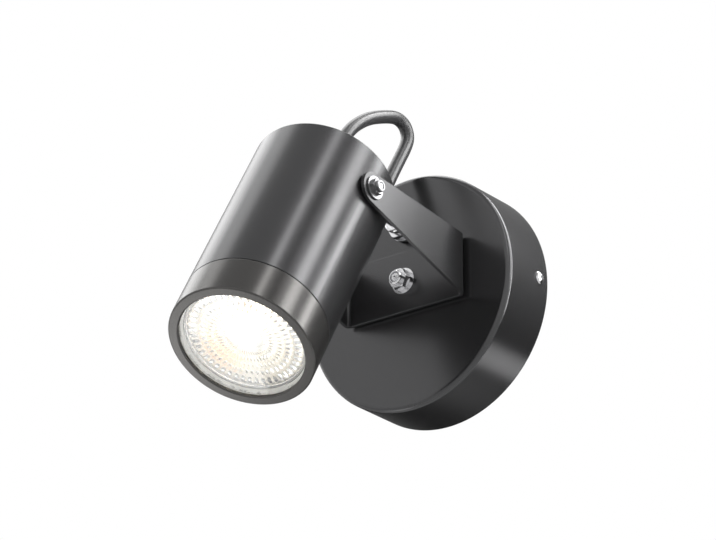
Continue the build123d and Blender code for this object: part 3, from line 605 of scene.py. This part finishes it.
def spline_points(route):
    """Points along the smooth line that a route controls, and its directions at both ends."""
    curve = bpy.data.curves.new("route", "CURVE")
    curve.dimensions = "3D"
    curve.resolution_u = LEAD_SAMPLES
    line = curve.splines.new("NURBS")
    line.points.add(len(route) - 1)
    for point, (out, up) in zip(line.points, route):
        point.co = (0.0, -out * MM, up * MM, 1.0)
    line.order_u = 3
    line.use_endpoint_u = True
    holder = bpy.data.objects.new("route", curve)
    mesh = bpy.data.meshes.new_from_object(holder)
    found = [vertex.co.copy() for vertex in mesh.vertices]
    legs = [line.points[i + 1].co - line.points[i].co for i in (0, len(route) - 2)]
    ends = [leg.to_3d().normalized() for leg in legs]
    bpy.data.objects.remove(holder)
    bpy.data.curves.remove(curve)
    bpy.data.meshes.remove(mesh)
    return found, ends


def tube(name, path, ends, look):
    """A capped tube along points in the plane x = 0, with the given directions at its ends."""
    mesh = bmesh.new()
    last = len(path) - 1
    rings = []
    for i, place in enumerate(path):
        along = (path[min(i + 1, last)] - path[max(i - 1, 0)]).normalized()
        if i in (0, last):
            along = ends[0] if i == 0 else ends[1]
        out = ACROSS.cross(along)
        spokes = [math.cos(t) * ACROSS + math.sin(t) * out for t in full_turn(LEAD_SIDES)]
        rings.append([mesh.verts.new(place + LEAD_RADIUS * spoke) for spoke in spokes])
    for lower, upper in zip(rings, rings[1:]):
        join_rings(mesh, lower, upper)
    for cap in (mesh.faces.new(rings[0][::-1]), mesh.faces.new(rings[-1])):
        for edge in cap.edges:
            edge.smooth = False
    return finished(name, mesh, look)


def lead_stretch(name, node, route, look):
    """One stretch of the lead between the two bodies it joins: a fixed tube along its route, for
    the model's node.
    """
    path, ends = spline_points(route)
    piece = tube(name, path, ends, look)
    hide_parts(node)
    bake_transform(piece)


# ---------------------------------------------------------------------------------------------
# The lamp's lens and light pipe
# ---------------------------------------------------------------------------------------------


def hump(value, start, stop):
    """A smooth hump, 0 at start and stop and 1 half way, and 0 outside."""
    if not start < value < stop:
        return 0.0
    return math.sin(math.pi * (value - start) / (stop - start)) ** 2


def band_height(radius, cell, start, stop, low, rise, fullness):
    """Height of a band of cells at a radius, where cell is 1 on a cell and 0 between two."""
    return (low + rise * cell) * hump(radius, start, stop) ** fullness


def relief(radius, turn):
    """How far the lens stands back from its front plane, in metres."""
    r = radius / MM
    if r >= LENS_RIM_START:
        return LENS_RIM_RELIEF * MM
    ridge = 0.5 + 0.5 * math.cos(LENS_CELLS * turn)
    heights = [DOME_HEIGHT * hump(r, -DOME_REACH, DOME_REACH)]
    heights += [band_height(r, ridge, *band) for band in (*FLUTES, OUTER_BEADS)]
    heights += [band_height(r, 1.0 - ridge, *INNER_BEADS)]
    return (LENS_RELIEF - max(heights)) * MM


def lens_facets(look):
    """Moulded front of the lamp: a dome, fine flutes and two rings of bead-like cells."""
    mesh = bmesh.new()
    turns = full_turn(LENS_CELLS * LENS_CELL_STEPS)
    middle = around(0.0, 0.0, LENS_FRONT - relief(0.0, 0.0))
    rings = [[mesh.verts.new(middle)]]
    for i in range(1, LENS_RINGS + 1):
        radius = LENS_RADIUS * i / LENS_RINGS
        places = [around(radius, t, LENS_FRONT - relief(radius, t)) for t in turns]
        rings.append([mesh.verts.new(place) for place in places])
    rings.append([mesh.verts.new(around(LENS_RADIUS, t, LENS_BACK)) for t in turns])
    for lower, upper in zip(rings, rings[1:]):
        join_rings(mesh, lower, upper)
    mesh.faces.new(rings[-1][::-1])
    piece = finished("lens_facets", mesh, look)
    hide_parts("lamp_lens")
    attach(piece, "head")


def glowing_pipe(look):
    """Light pipe inside the lamp, from the light source to close behind the lens."""
    outline = [(0.0, PIPE_FOOT), (PIPE_FOOT_RADIUS, PIPE_FOOT)]
    for k in range(PIPE_DOME_STEPS):
        turn = 0.5 * math.pi * k / PIPE_DOME_STEPS
        up = PIPE_TOP - PIPE_RADIUS + PIPE_RADIUS * math.sin(turn)
        outline.append((PIPE_RADIUS * math.cos(turn), up))
    outline.append((0.0, PIPE_TOP))
    mesh = bmesh.new()
    rings = []
    for radius, along in outline:
        turns = full_turn(PIPE_SIDES if radius else 1)
        rings.append([mesh.verts.new(around(radius, t, along)) for t in turns])
    for lower, upper in zip(rings, rings[1:]):
        join_rings(mesh, lower, upper)
    piece = finished("light_pipe", mesh, look)
    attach(piece, "head")


# ---------------------------------------------------------------------------------------------
# Studio
# ---------------------------------------------------------------------------------------------


def set_camera():
    """The photograph's camera."""
    data = bpy.data.cameras.new("camera")
    data.lens = CAMERA_LENS
    data.sensor_width = SENSOR_WIDTH
    data.sensor_fit = "HORIZONTAL"
    camera = bpy.data.objects.new("camera", data)
    bpy.context.scene.collection.objects.link(camera)
    turn = Matrix((CAMERA_RIGHT, CAMERA_UP, CAMERA_BACK)).transposed().to_4x4()
    camera.matrix_world = Matrix.Translation(CAMERA_PLACE) @ turn
    bpy.context.scene.camera = camera


def plane(name, width, height):
    """A flat rectangle that belongs to the studio."""
    x, y = width / 2, height / 2
    data = bpy.data.meshes.new(name)
    data.from_pydata([(-x, -y, 0), (x, -y, 0), (x, y, 0), (-x, y, 0)], [], [(0, 1, 2, 3)])
    made = bpy.data.objects.new(name, data)
    bpy.context.scene.collection.objects.link(made)
    return made


def lay_floor():
    """Plain pale floor. To the camera and in gloss it is nearly white, and it keeps the shadow."""
    floor = plane("floor", FLOOR_SIDE, FLOOR_SIDE)
    floor.location.z = FLOOR_LEVEL
    made, tree, shader = new_material("floor_look")
    set_inputs(shader, Roughness=0.7, Specular_IOR_Level=0.2)
    tone = two_tone(tree, noise(tree, 3.0, 2.0), *FLOOR_TONES)
    tree.links.new(tone, shader.inputs["Base Color"])
    glow = add(tree, "ShaderNodeEmission", Color=PURE_WHITE, Strength=WHITE)
    camera_ray = tree.nodes.new("ShaderNodeLightPath").outputs["Is Camera Ray"]
    shares = [
        calculate(tree, "ShaderNodeMath", "MULTIPLY", sight, white).outputs["Value"]
        for sight, white in (
            (seen_directly(tree), FLOOR_WHITE_IN_GLOSS),
            (camera_ray, FLOOR_WHITE_SEEN),
        )
    ]
    share = calculate(tree, "ShaderNodeMath", "MAXIMUM", *shares).outputs["Value"]
    mixed = mix_shaders(tree, share, shader.outputs["BSDF"], glow.outputs["Emission"])
    tree.links.new(mixed, tree.nodes["Material Output"].inputs["Surface"])
    floor.data.materials.append(made)


def light_world():
    """White to the camera and in gloss and glass, a plain soft grey as light."""
    world = bpy.data.worlds.new("studio")
    bpy.context.scene.world = world
    world.use_nodes = True
    tree = world.node_tree
    tree.nodes.clear()
    fill, white = (
        add(tree, "ShaderNodeBackground", Color=PURE_WHITE, Strength=level).outputs["Background"]
        for level in (WORLD_FILL, WHITE)
    )
    mixed = mix_shaders(tree, seen_directly(tree), fill, white)
    output = tree.nodes.new("ShaderNodeOutputWorld")
    tree.links.new(mixed, output.inputs["Surface"])


def facing(place, look, along):
    """Matrix of a panel at a place that faces along look, with its height towards along."""
    back = -look.normalized()
    up = (along - along.dot(back) * back).normalized()
    right = up.cross(back)
    turn = Matrix((right, up, back)).transposed().to_4x4()
    return Matrix.Translation(place) @ turn


def mirrored(turn):
    """Where the head's side, at a turn about its axis, sends the camera's line of sight."""
    angle = math.radians(turn)
    normal = math.cos(angle) * ACROSS + math.sin(angle) * UPWARD
    place = PIVOT + HEAD_MIDDLE * FORWARD + HEAD_RADIUS * normal
    sight = (CAMERA_PLACE - place).normalized()
    return place, 2 * sight.dot(normal) * normal - sight


def softbox(name, place, look, along, size, radiance):
    """A rectangular lamp of even radiance that the camera doesn't see."""
    data = bpy.data.lights.new(name, "AREA")
    data.shape = "RECTANGLE"
    data.size, data.size_y = size
    data.energy = radiance * math.pi * data.size * data.size_y
    made = bpy.data.objects.new(name, data)
    bpy.context.scene.collection.objects.link(made)
    made.matrix_world = facing(place, look, along)
    made.visible_camera = False


def card(name, place, look, along, size, levels):
    """A reflector card that only gloss sees, grey by levels that go from its foot to its top."""
    height = size[1]
    made = plane(name, *size)
    made.matrix_world = facing(place, look, along)
    look_of_card, tree, shader = new_material(name + "_look")
    tree.nodes.remove(shader)
    parts = tree.nodes.new("ShaderNodeSeparateXYZ")
    tree.links.new(object_place(tree), parts.inputs["Vector"])
    share = spread(tree, parts.outputs["Y"], 0.0, 1.0, -height / 2, height / 2)
    stops = [(0.5 + at / height, (level, level, level)) for at, level in levels]
    glow = tree.nodes.new("ShaderNodeEmission")
    tree.links.new(ramp(tree, share, stops), glow.inputs["Color"])
    tree.links.new(glow.outputs["Emission"], tree.nodes["Material Output"].inputs["Surface"])
    made.data.materials.append(look_of_card)
    made.visible_camera = False
    made.visible_diffuse = False
    made.visible_shadow = False
    made.visible_transmission = False


def light_studio():
    """Strips along the head, two aimed lamps, and cards for what the paint mirrors."""
    for name, turn, distance, size, radiance in STRIPS:
        place, sight = mirrored(turn)
        softbox("strip_" + name, place + distance * sight, -sight, FORWARD, size, radiance)
    for name, target, direction, distance, size, radiance in AIMED_LAMPS:
        sight = direction.normalized()
        softbox(name, target + distance * sight, -sight, ACROSS, size, radiance)
    outward, up = Vector((0, -1, 0)), Vector((0, 0, 1))
    card("back_card", BACK_CARD_PLACE, outward, up, BACK_CARD_SIZE, BACK_LEVELS)
    place, sight = mirrored(GAP_TURN)
    gap = place + GAP_DISTANCE * sight
    card("gap_card", gap, -sight, FORWARD, GAP_CARD_SIZE, GAP_LEVELS)
    card("top_card", TOP_CARD_PLACE, -up, -outward, TOP_CARD_SIZE, TOP_LEVELS)


# ---------------------------------------------------------------------------------------------

scene = bpy.context.scene
scene.view_settings.view_transform = "Standard"

set_camera()
looks = dress()
lead_stretch(
    "lead_lower", "flex_lower", LOWER_ROUTE, looks["lead"]
)
lead_stretch(
    "lead_upper", "flex_upper", UPPER_ROUTE, looks["lead"]
)
lens_facets(looks["lens"])
glowing_pipe(light_pipe("pipe_look"))
lay_floor()
light_world()
light_studio()
